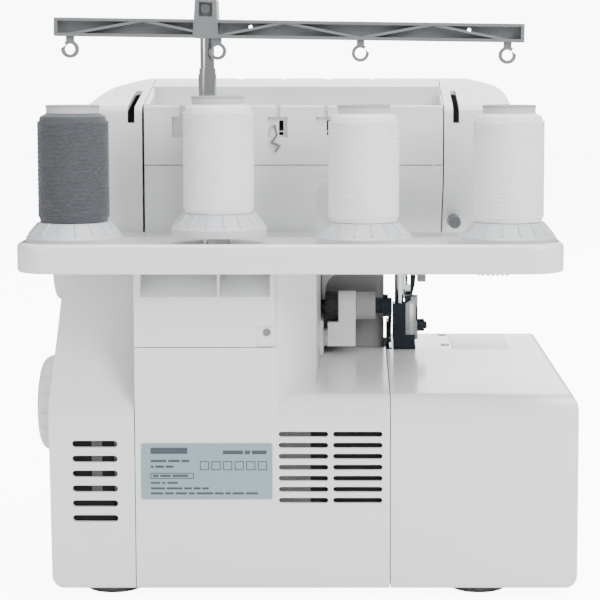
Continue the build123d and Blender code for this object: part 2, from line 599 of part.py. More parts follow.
SWITCH_Y, SWITCH_Z = -112.0, 42.0
with BuildPart() as power_switch:
    with BuildSketch(Plane.XZ.offset(106.5)):
        with BuildLine():
            Polyline((129, 41), (131, 50.3), (140.6, 50.3), (138.9, 42), (140.6, 33.7), (131, 33.7), close=True)
        make_face()
    extrude(amount=11)
    with BuildSketch(Plane.XZ.offset(105)):
        with Locations((135, SWITCH_Z)):
            Circle(1.5)
    extrude(amount=14)
save(power_switch, "power_switch")

# ---------------------------------------------------------------- needle and presser
BAR_R = 3.0
with BuildPart() as needle_bar:
    with Locations((NEEDLE_X, NEEDLE_Y, 188)):
        Cylinder(BAR_R, 76)
    with Locations((NEEDLE_X, NEEDLE_Y, 153)):
        Box(9.5, 7, 9)
    for x in (-1.8, 1.8):
        with Locations((NEEDLE_X + x, NEEDLE_Y, 139)):
            Cylinder(0.8, 24)
        with Locations((NEEDLE_X + x, NEEDLE_Y, 124)):
            Cone(0.25, 0.8, 6)
save(needle_bar, "needle_bar")

COLLAR_LOW = 172.0
with BuildPart() as presser_bar:
    with Locations((PRESSER_X, PRESSER_Y, 182)):
        Cylinder(BAR_R, 98)
    with Locations((PRESSER_X, PRESSER_Y, COLLAR_LOW + 2)):
        Cylinder(7.5, 4)
save(presser_bar, "presser_bar")

with BuildPart() as presser_foot:
    add(slab(-66, -57.6, -72, -60, 125, 147))            # black shank holder
    add(slab(-74.3, -66, -69, -63, 123, 152))            # grey frame beside it
    add(slab(-72.5, -58.2, -73, -61, 118, 126))
    add(slab(-73, -58.2, -98, -62, 116.5, 118.6))        # sole
    add(slab(-73, -58.2, -101, -97, 117.6, 119.4))
    with Locations((NEEDLE_X, NEEDLE_Y, 117)):
        Box(6.6, 3.4, 8, mode=Mode.SUBTRACT)
    add(x_cylinder(-66, 132, 4.2, -78.8, -74))
    add(x_cylinder(-66, 132, 2.6, -80.0, -78))
    with Locations((PRESSER_X, PRESSER_Y, 140)):
        Cylinder(BAR_R, 14.2, mode=Mode.SUBTRACT)
save(presser_foot, "presser_foot")

with BuildPart() as presser_lifter:
    add(x_cylinder(LIFTER_Y, LIFTER_Z, 3, -130, -71))
    add(slab(-74, -70.8, LIFTER_Y - 3, PRESSER_Y + 1.5, LIFTER_Z - 2.5, LIFTER_Z + 3))
    add(slab(-74, -66.2, PRESSER_Y - 1.5, PRESSER_Y + 1.5, LIFTER_Z + 0.5, COLLAR_LOW - 0.5))
    add(slab(-134, -114, LIFTER_Y - 2, -56, LIFTER_Z - 2, LIFTER_Z + 2))
    for k in range(6):
        add(slab(-132.6 + 3.2 * k, -130.8 + 3.2 * k, -74, -55, LIFTER_Z - 3, LIFTER_Z - 1.2), mode=Mode.SUBTRACT)
save(presser_lifter, "presser_lifter")

# ---------------------------------------------------------------- knives
with BuildPart() as knife_shaft:
    add(x_cylinder(KNIFE_Y, KNIFE_Z, 4, -57, 5))
    add(x_cylinder(KNIFE_Y, KNIFE_Z, 5.2, -57, -46.2))
    add(x_cylinder(KNIFE_Y, KNIFE_Z, 7.4, -54.5, -51))
save(knife_shaft, "knife_shaft")
with BuildPart() as knife_sleeve:
    add(x_cylinder(KNIFE_Y, KNIFE_Z, 9, -46, -33.6))
    add(x_cylinder(KNIFE_Y, KNIFE_Z, 4, -47, -33), mode=Mode.SUBTRACT)
save(knife_sleeve, "knife_sleeve")
with BuildPart() as knife_bracket:
    add(slab(-33, -15, -62, -42, 121.4, 137))
    add(x_cylinder(KNIFE_Y, KNIFE_Z, 9.6, -33.2, -22))
    add(slab(-33, -22, -61, -43, 130, 147))
    add(x_cylinder(KNIFE_Y, KNIFE_Z, 10.2, -21.8, -10), mode=Mode.SUBTRACT)
    add(x_cylinder(KNIFE_Y, 126, 6, -15.2, -11))
    add(slab(-12, -10.3, -62, -34, 117, 139))
    add(x_cylinder(KNIFE_Y, KNIFE_Z, 4 + RUN, -34, -12), mode=Mode.SUBTRACT)
save(knife_bracket, "knife_bracket")
with BuildPart() as upper_knife:
    with BuildSketch(Plane.YZ.offset(-57)):
        with BuildLine():
            Polyline((-48, 147), (-52, 152), (-58, 148), (-80, 133), (-92, 133), (-92, 112), (-76, 114.5),
                     (-76, 128), (-56, 141), close=True)
        make_face()
    extrude(amount=2.2)
    with BuildSketch(Plane.YZ.offset(-57)):
        with BuildLine():
            Polyline((-92, 133), (-92, 112), (-76, 114.5), (-76, 133), close=True)
        make_face()
    extrude(amount=3.4)
    add(slab(-58, -55.6, -FAR, -70, 100, 122), mode=Mode.SUBTRACT)
    add(x_cylinder(KNIFE_Y, KNIFE_Z, 5.2, -58, -50), mode=Mode.SUBTRACT)
save(upper_knife, "upper_knife")
with BuildPart() as lower_knife:
    add(slab(-57.3, -55.9, -94, -72, 101, BED - 0.2))
save(lower_knife, "lower_knife")

# ---------------------------------------------------------------- loopers and feed
def looper(name, blade, y_low, y_high):
    """A looper arm on a shaft along Y."""
    x, z = LOOPER_SHAFTS[name]
    with BuildPart() as piece:
        with BuildSketch(Plane.XZ.offset(-y_high)):
            with BuildLine():
                Polyline(*blade, close=True)
            make_face()
            with Locations((x, z)):
                Circle(8)
        extrude(amount=y_high - y_low)
        with BuildSketch(Plane.XZ.offset(69.5)):
            with Locations((x, z)):
                Circle(4)
        extrude(amount=-y_low - 69.5)
    save(piece, f"{name}_looper")


looper("lower", [(-79, 40), (-79, 86), (-72, 92), (-53, 92), (-53, 90), (-70, 87), (-72, 80), (-72, 40)], -86, -82)
looper("upper", [(-30, 44), (-36, 44), (-44, 84), (-62, 106), (-60, 107), (-38, 90)], -104, -100)

with BuildPart() as feed_dog:
    add(slab(-69, -61, -74, -54.5, 98, 104))
    add(slab(-72.6, -58.9, -92, -70, 104, 108))
    add(slab(NEEDLE_X - 3.2, NEEDLE_X + 3.2, NEEDLE_Y - 4.5, NEEDLE_Y + 4.5, 103, 109), mode=Mode.SUBTRACT)
    for low, high in FEED_ROWS:
        add(slab(low, high, -92, -70, 107, BED + 0.2))
    for k in range(14):
        with BuildSketch(Plane.YZ.offset(-75)):
            with BuildLine():
                Polyline((-91.6 + 1.6 * k, 117), (-90.8 + 1.6 * k, 115.2), (-90 + 1.6 * k, 117), close=True)
            make_face()
        extrude(amount=20, mode=Mode.SUBTRACT)
save(feed_dog, "feed_dog")

# ---------------------------------------------------------------- rear thread guides
CLIP_X = GUIDE_XS[2]
CLIP_PATH = [(CLIP_X + 2, 269), (CLIP_X + 0.5, 263), (CLIP_X + 3.5, 258.5), (CLIP_X - 1, 256.5), (CLIP_X + 1.5, 253)]
with BuildPart() as thread_guides:
    for x in GUIDE_XS:
        add(x_cylinder(HEAD_REAR - 5.2, 265, 0.7, x - SLOT_FAR, x - SLOT_NEAR))
    with BuildSketch(Plane.XZ.offset(-HEAD_REAR - 1.8)):  # bent wire clip in one recess
        with BuildLine():
            Polyline(*CLIP_PATH)
        trace(line_width=1.2)
    extrude(amount=1.2)
    add(slab(CLIP_X + 1.2, CLIP_X + 2.6, HEAD_REAR - 4, HEAD_REAR + 1.2, 267.4, 268.8))
save(thread_guides, "thread_guides")

# ---------------------------------------------------------------- spool tray, pins, pole
def tray_plan(take_in):
    """Plan outline of the tray, taken in by a margin."""
    with BuildSketch() as drawing:
        with Locations((TRAY_CENTRE_X, (TRAY_REAR + TRAY_FRONT) / 2)):
            RectangleRounded(TRAY_WIDTH - 2 * take_in, TRAY_REAR - TRAY_FRONT - 2 * take_in, 20 - take_in)
    return drawing.sketch


with BuildPart() as spool_tray:
    with BuildSketch(Plane.XY.offset(TRAY_LOW)):
        add(tray_plan(0))
    extrude(amount=TRAY_TOP - TRAY_LOW)
    fillet(spool_tray.faces().sort_by(Axis.Z)[-1].edges(), 3.0)
    fillet(spool_tray.faces().sort_by(Axis.Z)[0].edges(), 1.5)
    with BuildSketch(Plane.XY.offset(TRAY_FLOOR)):
        add(tray_plan(2.4))
    extrude(amount=10, mode=Mode.SUBTRACT)
    for x_low, x_high in ((-137, -16), (97, 142)):  # hollow underside beside the bracket
        with BuildSketch(Plane.XY.offset(180)):
            with Locations(((x_low + x_high) / 2, (TRAY_REAR + TRAY_FRONT) / 2)):
                RectangleRounded(x_high - x_low, TRAY_REAR - TRAY_FRONT - 14, 10)
        extrude(amount=TRAY_FLOOR - WALL - 180, mode=Mode.SUBTRACT)
    with Locations((POLE_X, POLE_Y, TRAY_TOP)):
        Cylinder(POLE_R + RUN, 60, mode=Mode.SUBTRACT)
save(spool_tray, "spool_tray")

PIN_R, COLLAR_R, COLLAR_HEIGHT = 3.2, 6.4, 2.5
with BuildPart() as spool_pins:
    for k, x in enumerate(SPOOL_XS):
        lift = REST_HEIGHT if k == RAISED_SPOOL else 0
        with Locations((x, SPOOL_Y, TRAY_FLOOR + (COLLAR_HEIGHT + lift) / 2)):
            Cylinder(COLLAR_R, COLLAR_HEIGHT + lift)
        with Locations((x, SPOOL_Y, TRAY_FLOOR + 32)):
            Cylinder(PIN_R, 56)
        with Locations((x, SPOOL_Y, TRAY_FLOOR + 62)):
            Cone(PIN_R, 1.4, 4)
        if lift:  # the rest that holds this spool up
            with Locations((x, SPOOL_Y, TRAY_FLOOR + lift - 0.6)):
                Cylinder(15.0, 1.2)
save(spool_pins, "spool_pins")

with BuildPart() as pole_tube:
    with Locations((POLE_X, POLE_Y, (174.6 + NECK_LOW) / 2)):
        Cylinder(POLE_R, NECK_LOW - 174.6)
    with Locations((POLE_X, POLE_Y, (NECK_LOW + SLEEVE_TOP) / 2)):
        Cylinder(NECK_R, SLEEVE_TOP - NECK_LOW)
    with Locations((POLE_X, POLE_Y, 191 + 60)):
        Cylinder(POLE_UPPER_R + RUN, 120, mode=Mode.SUBTRACT)
save(pole_tube, "pole_tube")

ROD_TOP = 331.0
with BuildPart() as pole_rod:
    with Locations((POLE_X, POLE_Y, (202 + ROD_TOP) / 2)):
        Cylinder(POLE_UPPER_R, ROD_TOP - 202)
save(pole_rod, "pole_rod")

# ---------------------------------------------------------------- thread guide bar
HOOK_XS = (130.6, 45.7, -36.5, -121.1)
RIB_XS = (130.6, 88.4, 45.7, 7.4, -36.5, -77.7, -121.1)
BAR_HOLE_XS = (27.0, -99.0)
BAR_Y = 79.0
HOOK_R, HOOK_WIRE = 5.0, 1.9
HALF = BAR_HEIGHT / 2
with BuildPart() as bar_body:
    with Locations((BAR_CENTRE_X, BAR_Y, BAR_Z)):
        Box(BAR_LENGTH, BAR_DEPTH, BAR_HEIGHT)
    with Locations((BAR_CENTRE_X, BAR_Y + 2, BAR_Z)):
        Box(BAR_LENGTH - 4, BAR_DEPTH, BAR_HEIGHT - 3.6, mode=Mode.SUBTRACT)
    with BuildSketch(Plane.XZ.offset(-BAR_Y - 3.6)):  # zigzag stiffening ribs
        for k in range(len(RIB_XS) - 1):
            ends = [(RIB_XS[k + j], BAR_Z + (HALF - 1.2) * (1 if (k + j) % 2 else -1)) for j in (0, 1)]
            with BuildLine():
                Polyline(*ends)
            trace(line_width=1.5)
    extrude(amount=6)
    with BuildSketch(Plane.XZ.offset(-BAR_Y - 2)):  # open hooks
        for k, x in enumerate(HOOK_XS):
            with Locations((x, BAR_Z - HALF - HOOK_R - 2.4)):
                Circle(HOOK_R)
                Circle(HOOK_R - HOOK_WIRE, mode=Mode.SUBTRACT)
            with Locations((x, BAR_Z - HALF - 1.6)):
                Rectangle(4.4, 3.6)
            side = 1 if k < 2 else -1
            with Locations((x + side * 4.1, BAR_Z - HALF - 5.0)):
                Rectangle(3.2, 2.2, rotation=-side * 35, mode=Mode.SUBTRACT)
    extrude(amount=4)
    with BuildSketch(Plane.XZ.offset(-BAR_Y - 4)):  # cap over the pole
        with BuildLine():
            Polyline((POLE_X - 7.3, BAR_Z - HALF), (POLE_X + 7.3, BAR_Z - HALF), (POLE_X + 6.2, 341.2),
                     (POLE_X - 6.2, 341.2), close=True)
        make_face()
    extrude(amount=18)
    with Locations((POLE_X, BAR_Y + 3, 335.6)):
        Box(7.8, 4, 8.1, mode=Mode.SUBTRACT)
    with BuildSketch(Plane.XZ.offset(-BAR_Y - 8)):
        with Locations(*[(x, BAR_Z + 1.5) for x in BAR_HOLE_XS]):
            Circle(1.1)
    extrude(amount=20, mode=Mode.SUBTRACT)

with BuildPart() as guide_bar:
    add(bar_body.part.rotate(Axis((POLE_X, BAR_Y, BAR_Z), (0, 1, 0)), -BAR_TILT))
    with Locations((POLE_X, POLE_Y, ROD_TOP - 10)):
        Cylinder(POLE_UPPER_R + RUN, 20 + 2 * GAP, mode=Mode.SUBTRACT)
save(guide_bar, "guide_bar")

with BuildPart() as guide_screw:
    with BuildSketch(Plane.XZ.offset(-BAR_Y - 3.0)):
        with Locations((POLE_X, 336.0)):
            Circle(2.6)
    extrude(amount=1.9)
    with BuildSketch(Plane.XZ.offset(-BAR_Y - 3.2)):
        with Locations((POLE_X, 336.0)):
            Rectangle(3.4, 0.8)
            Rectangle(0.8, 3.4)
    extrude(amount=1.0, mode=Mode.SUBTRACT)
save(guide_screw, "guide_screw")

# ---------------------------------------------------------------- spools
TUBE_R, TUBE_BORE = 14.75, 13.3
SPOOL_PROFILE = [(TUBE_BORE, 0), (26.8, 0), (26.8, 4.2), (25.4, 5.6), (19.4, 12.4), (TUBE_R, 12.6),
                 (TUBE_R, 77.8), (TUBE_BORE, 77.8)]
THREAD_PROFILE = [(TUBE_R + 0.05, 12.7), (18.6, 12.7), (19.5, 15.5), (19.5, 66.5), (18.2, 71.4),
                  (TUBE_R + 0.05, 73.2)]


def revolved(name, profile, x, z, notch):
    """A piece turned about a vertical spool axis."""
    with BuildPart() as piece:
        with BuildSketch(Plane(origin=(x, SPOOL_Y, z), x_dir=(1, 0, 0), z_dir=(0, -1, 0))):
            with BuildLine():
                Polyline(*profile, close=True)
            make_face()
        revolve(axis=Axis((x, SPOOL_Y, z), (0, 0, 1)))
        if notch:
            with Locations((x + 22, SPOOL_Y, z + 4)):
                Cylinder(1.5, 30, mode=Mode.SUBTRACT)
    save(piece, name)


for k, x in enumerate(SPOOL_XS):
    stand = TRAY_FLOOR + GAP + (REST_HEIGHT if k == RAISED_SPOOL else 0)
    revolved(f"spool_{k + 1}", SPOOL_PROFILE, x, stand, True)
    revolved(f"thread_{k + 1}", THREAD_PROFILE, x, stand, False)

for make in (side_casing, rear_cover, spool_bracket, end_cover, column_cover, head_shell,
             rear_upper_cover, rear_lower_cover, face_cover):
    make()
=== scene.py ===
"""Looks of a household overlock machine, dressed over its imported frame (metres, +Z up, cones at +Y)."""

import logging
import math
from collections.abc import Iterable, Sequence
from dataclasses import dataclass
from enum import Enum

import bmesh
import bpy
from mathutils import Euler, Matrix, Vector


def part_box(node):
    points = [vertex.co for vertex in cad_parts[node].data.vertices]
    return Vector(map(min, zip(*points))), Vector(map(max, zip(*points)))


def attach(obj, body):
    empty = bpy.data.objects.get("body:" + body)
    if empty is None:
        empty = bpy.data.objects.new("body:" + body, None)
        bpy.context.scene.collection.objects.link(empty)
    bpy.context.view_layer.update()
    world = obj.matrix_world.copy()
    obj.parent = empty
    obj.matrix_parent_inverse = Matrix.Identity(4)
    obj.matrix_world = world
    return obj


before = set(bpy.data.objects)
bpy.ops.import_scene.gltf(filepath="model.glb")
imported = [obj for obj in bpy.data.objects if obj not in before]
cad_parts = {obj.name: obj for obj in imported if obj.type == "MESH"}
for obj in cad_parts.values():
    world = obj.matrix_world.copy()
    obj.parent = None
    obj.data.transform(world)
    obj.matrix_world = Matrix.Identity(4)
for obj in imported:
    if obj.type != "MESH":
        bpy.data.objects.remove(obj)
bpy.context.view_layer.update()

LOG = logging.getLogger("overlock")
MM = 0.001
EDGE_FACETS = 2     # facets across a rounded edge
EDGE_DEG = 38.0     # edges sharper than this are rounded
Point = tuple[float, float, float]


# ---------------------------------------------------------------- colour and node helpers
def linear(colour: str, alpha: float = 1.0) -> tuple[float, float, float, float]:
    """Turn an sRGB hex colour into linear values.

    Args:
        colour: Six hex digits with a leading hash.
        alpha: Opacity from 0 to 1.

    Returns:
        Linear red, green, blue and alpha.
    """
    parts = [int(colour[k:k + 2], 16) / 255 for k in (1, 3, 5)]
    red, green, blue = (c / 12.92 if c <= 0.04045 else ((c + 0.055) / 1.055) ** 2.4 for c in parts)
    return red, green, blue, alpha


def add_node(tree: bpy.types.NodeTree, kind: str, settings: dict | None = None,
             links: dict | None = None, **inputs: object) -> bpy.types.Node:
    """Add one shader node with its settings, input values and incoming links.

    Args:
        tree: Node tree that the node joins.
        kind: Blender's name for the node type.
        settings: Properties set on the node itself.
        links: Input name or index to the output socket that feeds it.
        **inputs: Input values by name, with underscores for spaces.

    Returns:
        The new node.
    """
    node = tree.nodes.new(kind)
    for key, value in (settings or {}).items():
        setattr(node, key, value)
    for key, value in inputs.items():
        node.inputs[key.replace("_", " ")].default_value = value
    for key, socket in (links or {}).items():
        tree.links.new(socket, node.inputs[key])
    return node


# ---------------------------------------------------------------- finishes
@dataclass(frozen=True)
class Finish:
    """A surface made of one stuff in one way; subclasses add what its making leaves on it."""

    name: str
    colour: str
    roughness: float
    metallic: float = 0.0
    ior: float = 1.5

    def make(self) -> bpy.types.Material:
        """Build the material.

        Returns:
            The finished node-based material.
        """
        material = bpy.data.materials.new(self.name)
        material.use_nodes = True
        tree = material.node_tree
        shader = tree.nodes["Principled BSDF"]
        shader.inputs["Base Color"].default_value = linear(self.colour)
        shader.inputs["Roughness"].default_value = self.roughness
        shader.inputs["Metallic"].default_value = self.metallic
        if not self.metallic:
            shader.inputs["IOR"].default_value = self.ior
        material.diffuse_color = linear(self.colour)
        self.detail(tree, shader)
        return material

    def detail(self, tree: bpy.types.NodeTree, shader: bpy.types.Node) -> None:
        """Add what the making of the surface leaves on it; the plain finish has nothing."""

    def place(self, tree: bpy.types.NodeTree, scale: Point = (1.0, 1.0, 1.0)) -> bpy.types.NodeSocket:
        """Give the object's own coordinates in metres, stretched by a scale.

        Args:
            tree: Node tree of the material.
            scale: Stretch along X, Y and Z.

        Returns:
            The vector output to feed a texture.
        """
        coords = add_node(tree, "ShaderNodeTexCoord")
        mapping = add_node(tree, "ShaderNodeMapping", links={"Vector": coords.outputs["Object"]}, Scale=scale)
        return mapping.outputs["Vector"]

    def noise(self, tree: bpy.types.NodeTree, scale: float, detail: float, stretch: Point = (1.0, 1.0, 1.0),
              distortion: float = 0.0) -> bpy.types.NodeSocket:
        """Give a cloudy pattern over the object.

        Args:
            tree: Node tree of the material.
            scale: Clouds to the metre.
            detail: Layers of finer noise in it.
            stretch: Stretch along X, Y and Z.
            distortion: How far the pattern is warped.

        Returns:
            Its output, from 0 to 1.
        """
        texture = add_node(tree, "ShaderNodeTexNoise", links={"Vector": self.place(tree, stretch)},
                           Scale=scale, Detail=detail, Distortion=distortion)
        return texture.outputs["Fac"]

    def vary_roughness(self, tree: bpy.types.NodeTree, shader: bpy.types.Node, pattern: bpy.types.NodeSocket,
                       spread: float) -> None:
        """Let roughness drift about its value with a pattern.

        Args:
            tree: Node tree of the material.
            shader: The Principled shader.
            pattern: Output from 0 to 1.
            spread: Full width of the drift.
        """
        drift = add_node(tree, "ShaderNodeMapRange", links={"Value": pattern},
                         To_Min=self.roughness - spread / 2, To_Max=self.roughness + spread / 2)
        tree.links.new(drift.outputs["Result"], shader.inputs["Roughness"])

    def vary_colour(self, tree: bpy.types.NodeTree, shader: bpy.types.Node, pattern: bpy.types.NodeSocket,
                    other: str) -> None:
        """Let the colour drift between the finish's own and another.

        Args:
            tree: Node tree of the material.
            shader: The Principled shader.
            pattern: Output from 0 to 1.
            other: The other colour as sRGB hex.
        """
        blend = add_node(tree, "ShaderNodeMix", {"data_type": "RGBA"})
        blend.inputs[6].default_value = linear(self.colour)
        blend.inputs[7].default_value = linear(other)
        tree.links.new(pattern, blend.inputs[0])
        tree.links.new(blend.outputs[2], shader.inputs["Base Color"])

    def raise_bumps(self, tree: bpy.types.NodeTree, shader: bpy.types.Node, height: bpy.types.NodeSocket,
                    depth_mm: float, strength: float = 1.0) -> None:
        """Bump the surface by a height pattern.

        Args:
            tree: Node tree of the material.
            shader: The Principled shader.
            height: Output from 0 to 1.
            depth_mm: Depth from 0 to 1 in millimetres.
            strength: How much of the bump shows.
        """
        bump = add_node(tree, "ShaderNodeBump", links={"Height": height}, Distance=depth_mm * MM,
                        Strength=strength)
        tree.links.new(bump.outputs["Normal"], shader.inputs["Normal"])


@dataclass(frozen=True)
class GlossyAbs(Finish):
    """ABS moulded against a polished tool: a clean gloss with a faint slow ripple and a few handled spots."""

    coat: float = 0.25
    coat_roughness: float = 0.08
    ripple_mm: float = 14.0
    ripple_depth_mm: float = 0.05
    handled_mm: float = 55.0
    handled_spread: float = 0.10

    def detail(self, tree: bpy.types.NodeTree, shader: bpy.types.Node) -> None:
        """Add the ripple of cooling plastic and the drift of gloss."""
        shader.inputs["Coat Weight"].default_value = self.coat
        shader.inputs["Coat Roughness"].default_value = self.coat_roughness
        ripple = self.noise(tree, 1 / (self.ripple_mm * MM), 1.0)
        self.raise_bumps(tree, shader, ripple, self.ripple_depth_mm, 0.5)
        handled = self.noise(tree, 1 / (self.handled_mm * MM), 3.0)
        self.vary_roughness(tree, shader, handled, self.handled_spread)


@dataclass(frozen=True)
class SparkedPlastic(Finish):
    """Plastic moulded against a spark-eroded tool: a fine even grain that scatters light."""

    grain_mm: float = 0.5
    depth_mm: float = 0.03
    patches: float = 60.0
    patch_spread: float = 0.12

    def detail(self, tree: bpy.types.NodeTree, shader: bpy.types.Node) -> None:
        """Add the grain, drawn about twice as coarse as real so that it shows."""
        grain = self.noise(tree, 1 / (self.grain_mm * MM), 2.0)
        self.raise_bumps(tree, shader, grain, self.depth_mm, 0.6)
        patches = self.noise(tree, self.patches, 2.0)
        self.vary_roughness(tree, shader, patches, self.patch_spread)


@dataclass(frozen=True)
class BrushedMetal(Finish):
    """Metal ground or brushed in one direction: long fine scratches that stretch the highlights."""

    scratch_mm: float = 0.35
    stretch: Point = (0.04, 1.0, 1.0)
    depth_mm: float = 0.01
    scratch_spread: float = 0.14

    def detail(self, tree: bpy.types.NodeTree, shader: bpy.types.Node) -> None:
        """Add scratches that run along the stretched axis."""
        lines = self.noise(tree, 1 / (self.scratch_mm * MM), 3.0, self.stretch)
        self.raise_bumps(tree, shader, lines, self.depth_mm, 0.5)
        self.vary_roughness(tree, shader, lines, self.scratch_spread)


@dataclass(frozen=True)
class CastMetal(Finish):
    """Die-cast alloy left as it came from the die: a dull skin with flow marks."""

    flow_marks: float = 90.0
    pit_depth_mm: float = 0.12
    flow_shade: str = "#8C8D8D"

    def detail(self, tree: bpy.types.NodeTree, shader: bpy.types.Node) -> None:
        """Add the flow marks and the pitted skin."""
        flow = self.noise(tree, self.flow_marks, 5.0, distortion=1.2)
        self.raise_bumps(tree, shader, flow, self.pit_depth_mm, 0.6)
        self.vary_colour(tree, shader, flow, self.flow_shade)


@dataclass(frozen=True)
class MouldedRubber(Finish):
    """Moulded rubber: dark, dull and slightly dusty."""

    dust: float = 300.0
    grain_depth_mm: float = 0.08
    dust_shade: str = "#3A3A3B"

    def detail(self, tree: bpy.types.NodeTree, shader: bpy.types.Node) -> None:
        """Add dust and a fine grain."""
        dust = self.noise(tree, self.dust, 4.0)
        self.vary_colour(tree, shader, dust, self.dust_shade)
        self.raise_bumps(tree, shader, dust, self.grain_depth_mm, 0.5)


@dataclass(frozen=True)
class FrostedPlastic(Finish):
    """Polypropylene moulded thin: milky, lets light through and blurs it."""

    milkiness: float = 0.55
    depth_of_light_mm: float = 5.0
    flow_lines: float = 140.0
    flow_depth_mm: float = 0.06
    flow_spread: float = 0.12

    def detail(self, tree: bpy.types.NodeTree, shader: bpy.types.Node) -> None:
        """Add the light that wanders in the plastic and faint flow lines."""
        shader.inputs["Subsurface Weight"].default_value = self.milkiness
        shader.inputs["Subsurface Scale"].default_value = self.depth_of_light_mm * MM
        flow = self.noise(tree, self.flow_lines, 2.0)
        self.raise_bumps(tree, shader, flow, self.flow_depth_mm, 0.5)
        self.vary_roughness(tree, shader, flow, self.flow_spread)


@dataclass(frozen=True)
class WoundThread(Finish):
    """Spun polyester thread laid in crossing helices: soft sheen, fine slanted lines darkened with painted
    shade.
    """

    # Darker colour mixed in along the thread rows: painted shade.
    painted_row_shade: str = "#D5D8DC"
    thread_mm: float = 0.55
    sheen: float = 0.35
    sheen_roughness: float = 0.4
    row_depth_mm: float = 0.25

    def detail(self, tree: bpy.types.NodeTree, shader: bpy.types.Node) -> None:
        """Add rows of thread broken up by fibres, a little coarser than real, and darken the colour along
        them as painted shade.
        """
        shader.inputs["Sheen Weight"].default_value = self.sheen
        shader.inputs["Sheen Roughness"].default_value = self.sheen_roughness
        fibres = self.noise(tree, 1 / (self.thread_mm * MM), 2.0)
        rows = add_node(tree, "ShaderNodeTexWave", {"wave_type": "BANDS", "bands_direction": "Z"},
                        links={"Vector": self.place(tree)}, Scale=0.5 / (self.thread_mm * MM), Distortion=2.0,
                        Detail=2.0, Detail_Scale=1.5)
        both = add_node(tree, "ShaderNodeMath", {"operation": "MULTIPLY"},
                        links={0: fibres, 1: rows.outputs["Fac"]})
        self.raise_bumps(tree, shader, both.outputs["Value"], self.row_depth_mm, 0.9)
        # Painted shade: the colour darkens along the thread rows, following the bump pattern.
        self.vary_colour(tree, shader, both.outputs["Value"], self.painted_row_shade)


@dataclass(frozen=True)
class PrintedFoil(Finish):
    """Anodised foil for a rating label: flat, softly reflecting, finely brushed sideways."""

    brushing: float = 3000.0
    stretch: Point = (0.05, 1.0, 1.0)
    brush_spread: float = 0.10
    brush_shade: str = "#93A4AC"

    def detail(self, tree: bpy.types.NodeTree, shader: bpy.types.Node) -> None:
        """Add the fine sideways brushing under the lacquer."""
        lines = self.noise(tree, self.brushing, 2.0, self.stretch)
        self.vary_roughness(tree, shader, lines, self.brush_spread)
        self.vary_colour(tree, shader, lines, self.brush_shade)


class Stuff(Enum):
    """Every finish on the machine, by what it is."""

    CASING = GlossyAbs("casing_abs_glossy_white", "#E4E5E6", 0.24, ior=1.54)
    PANEL = SparkedPlastic("panel_abs_satin_white", "#F4F4F4", 0.42, ior=1.54)
    CONTROL = SparkedPlastic("control_abs_satin_grey_white", "#DCDCDB", 0.40, ior=1.54)
    SLEEVE = SparkedPlastic("sleeve_abs_mid_grey", "#A3A1A0", 0.40, ior=1.54)
    # Pillar grey: partly the wall's own grey, partly painted shade for the front wall that stands in shade
    # inside the throat.
    PILLAR = SparkedPlastic("pillar_abs_grey_with_painted_shade", "#8C8A89", 0.45, ior=1.54)
    BLACK = SparkedPlastic("knob_nylon_black", "#141517", 0.38, ior=1.53)
    PAN = SparkedPlastic("pan_abs_grey", "#A9A9A8", 0.55, ior=1.54)
    GUIDE = SparkedPlastic("guide_nylon_mid_grey", "#6F7274", 0.40, ior=1.53)
    RUBBER = MouldedRubber("feet_rubber_dark_grey", "#5A5A5A", 0.75, ior=1.52)
    BELT = MouldedRubber("belt_neoprene_black", "#141414", 0.7, ior=1.52)
    PLATE = BrushedMetal("plate_ground_steel", "#C9CBC8", 0.30, metallic=1.0)
    SCREW = BrushedMetal("screw_zinc_plated_steel", "#8C8E90", 0.35, metallic=1.0)
    SHAFT = BrushedMetal("shaft_ground_steel", "#A8A9AA", 0.28, metallic=1.0)
    CHROME = BrushedMetal("tube_polished_chrome", "#C8CACC", 0.10, metallic=1.0, depth_mm=0.002)
    DARK_STEEL = BrushedMetal("clamp_blackened_steel", "#2C3238", 0.36, metallic=0.85)
    CAST = CastMetal("frame_die_cast_aluminium", "#A2A3A3", 0.5, metallic=0.9)
    CAN = SparkedPlastic("motor_painted_can_black", "#1A1A1C", 0.5)
    FOIL = PrintedFoil("label_anodised_foil", "#84969E", 0.42, metallic=0.35)
    INK = SparkedPlastic("label_ink_dark", "#3C474E", 0.6)
    # Painted shade: a near-black sheet set behind vents and slots, where there is only shade inside the
    # machine.
    SHADOW = SparkedPlastic("painted_shade_sheet_black", "#0C0C0D", 0.95)
    FROSTED = FrostedPlastic("cone_polypropylene_frosted", "#C2C5C9", 0.34, ior=1.49)
    THREAD_DARK = WoundThread("thread_polyester_dark_grey", "#4B4F54", 0.7, painted_row_shade="#2B2E32")
    THREAD_WHITE = WoundThread("thread_polyester_white", "#FFFFFF", 0.7, painted_row_shade="#F1F4F7")


class Palette:
    """Makes each finish's material once and hands it out."""

    def __init__(self) -> None:
        """Start with no materials."""
        self._made: dict[Stuff, bpy.types.Material] = {}

    def get(self, stuff: Stuff) -> bpy.types.Material:
        """Give a finish's material.

        Args:
            stuff: The finish.

        Returns:
            Its material, made on first use.
        """
        if stuff not in self._made:
            self._made[stuff] = stuff.value.make()
        return self._made[stuff]


PALETTE = Palette()


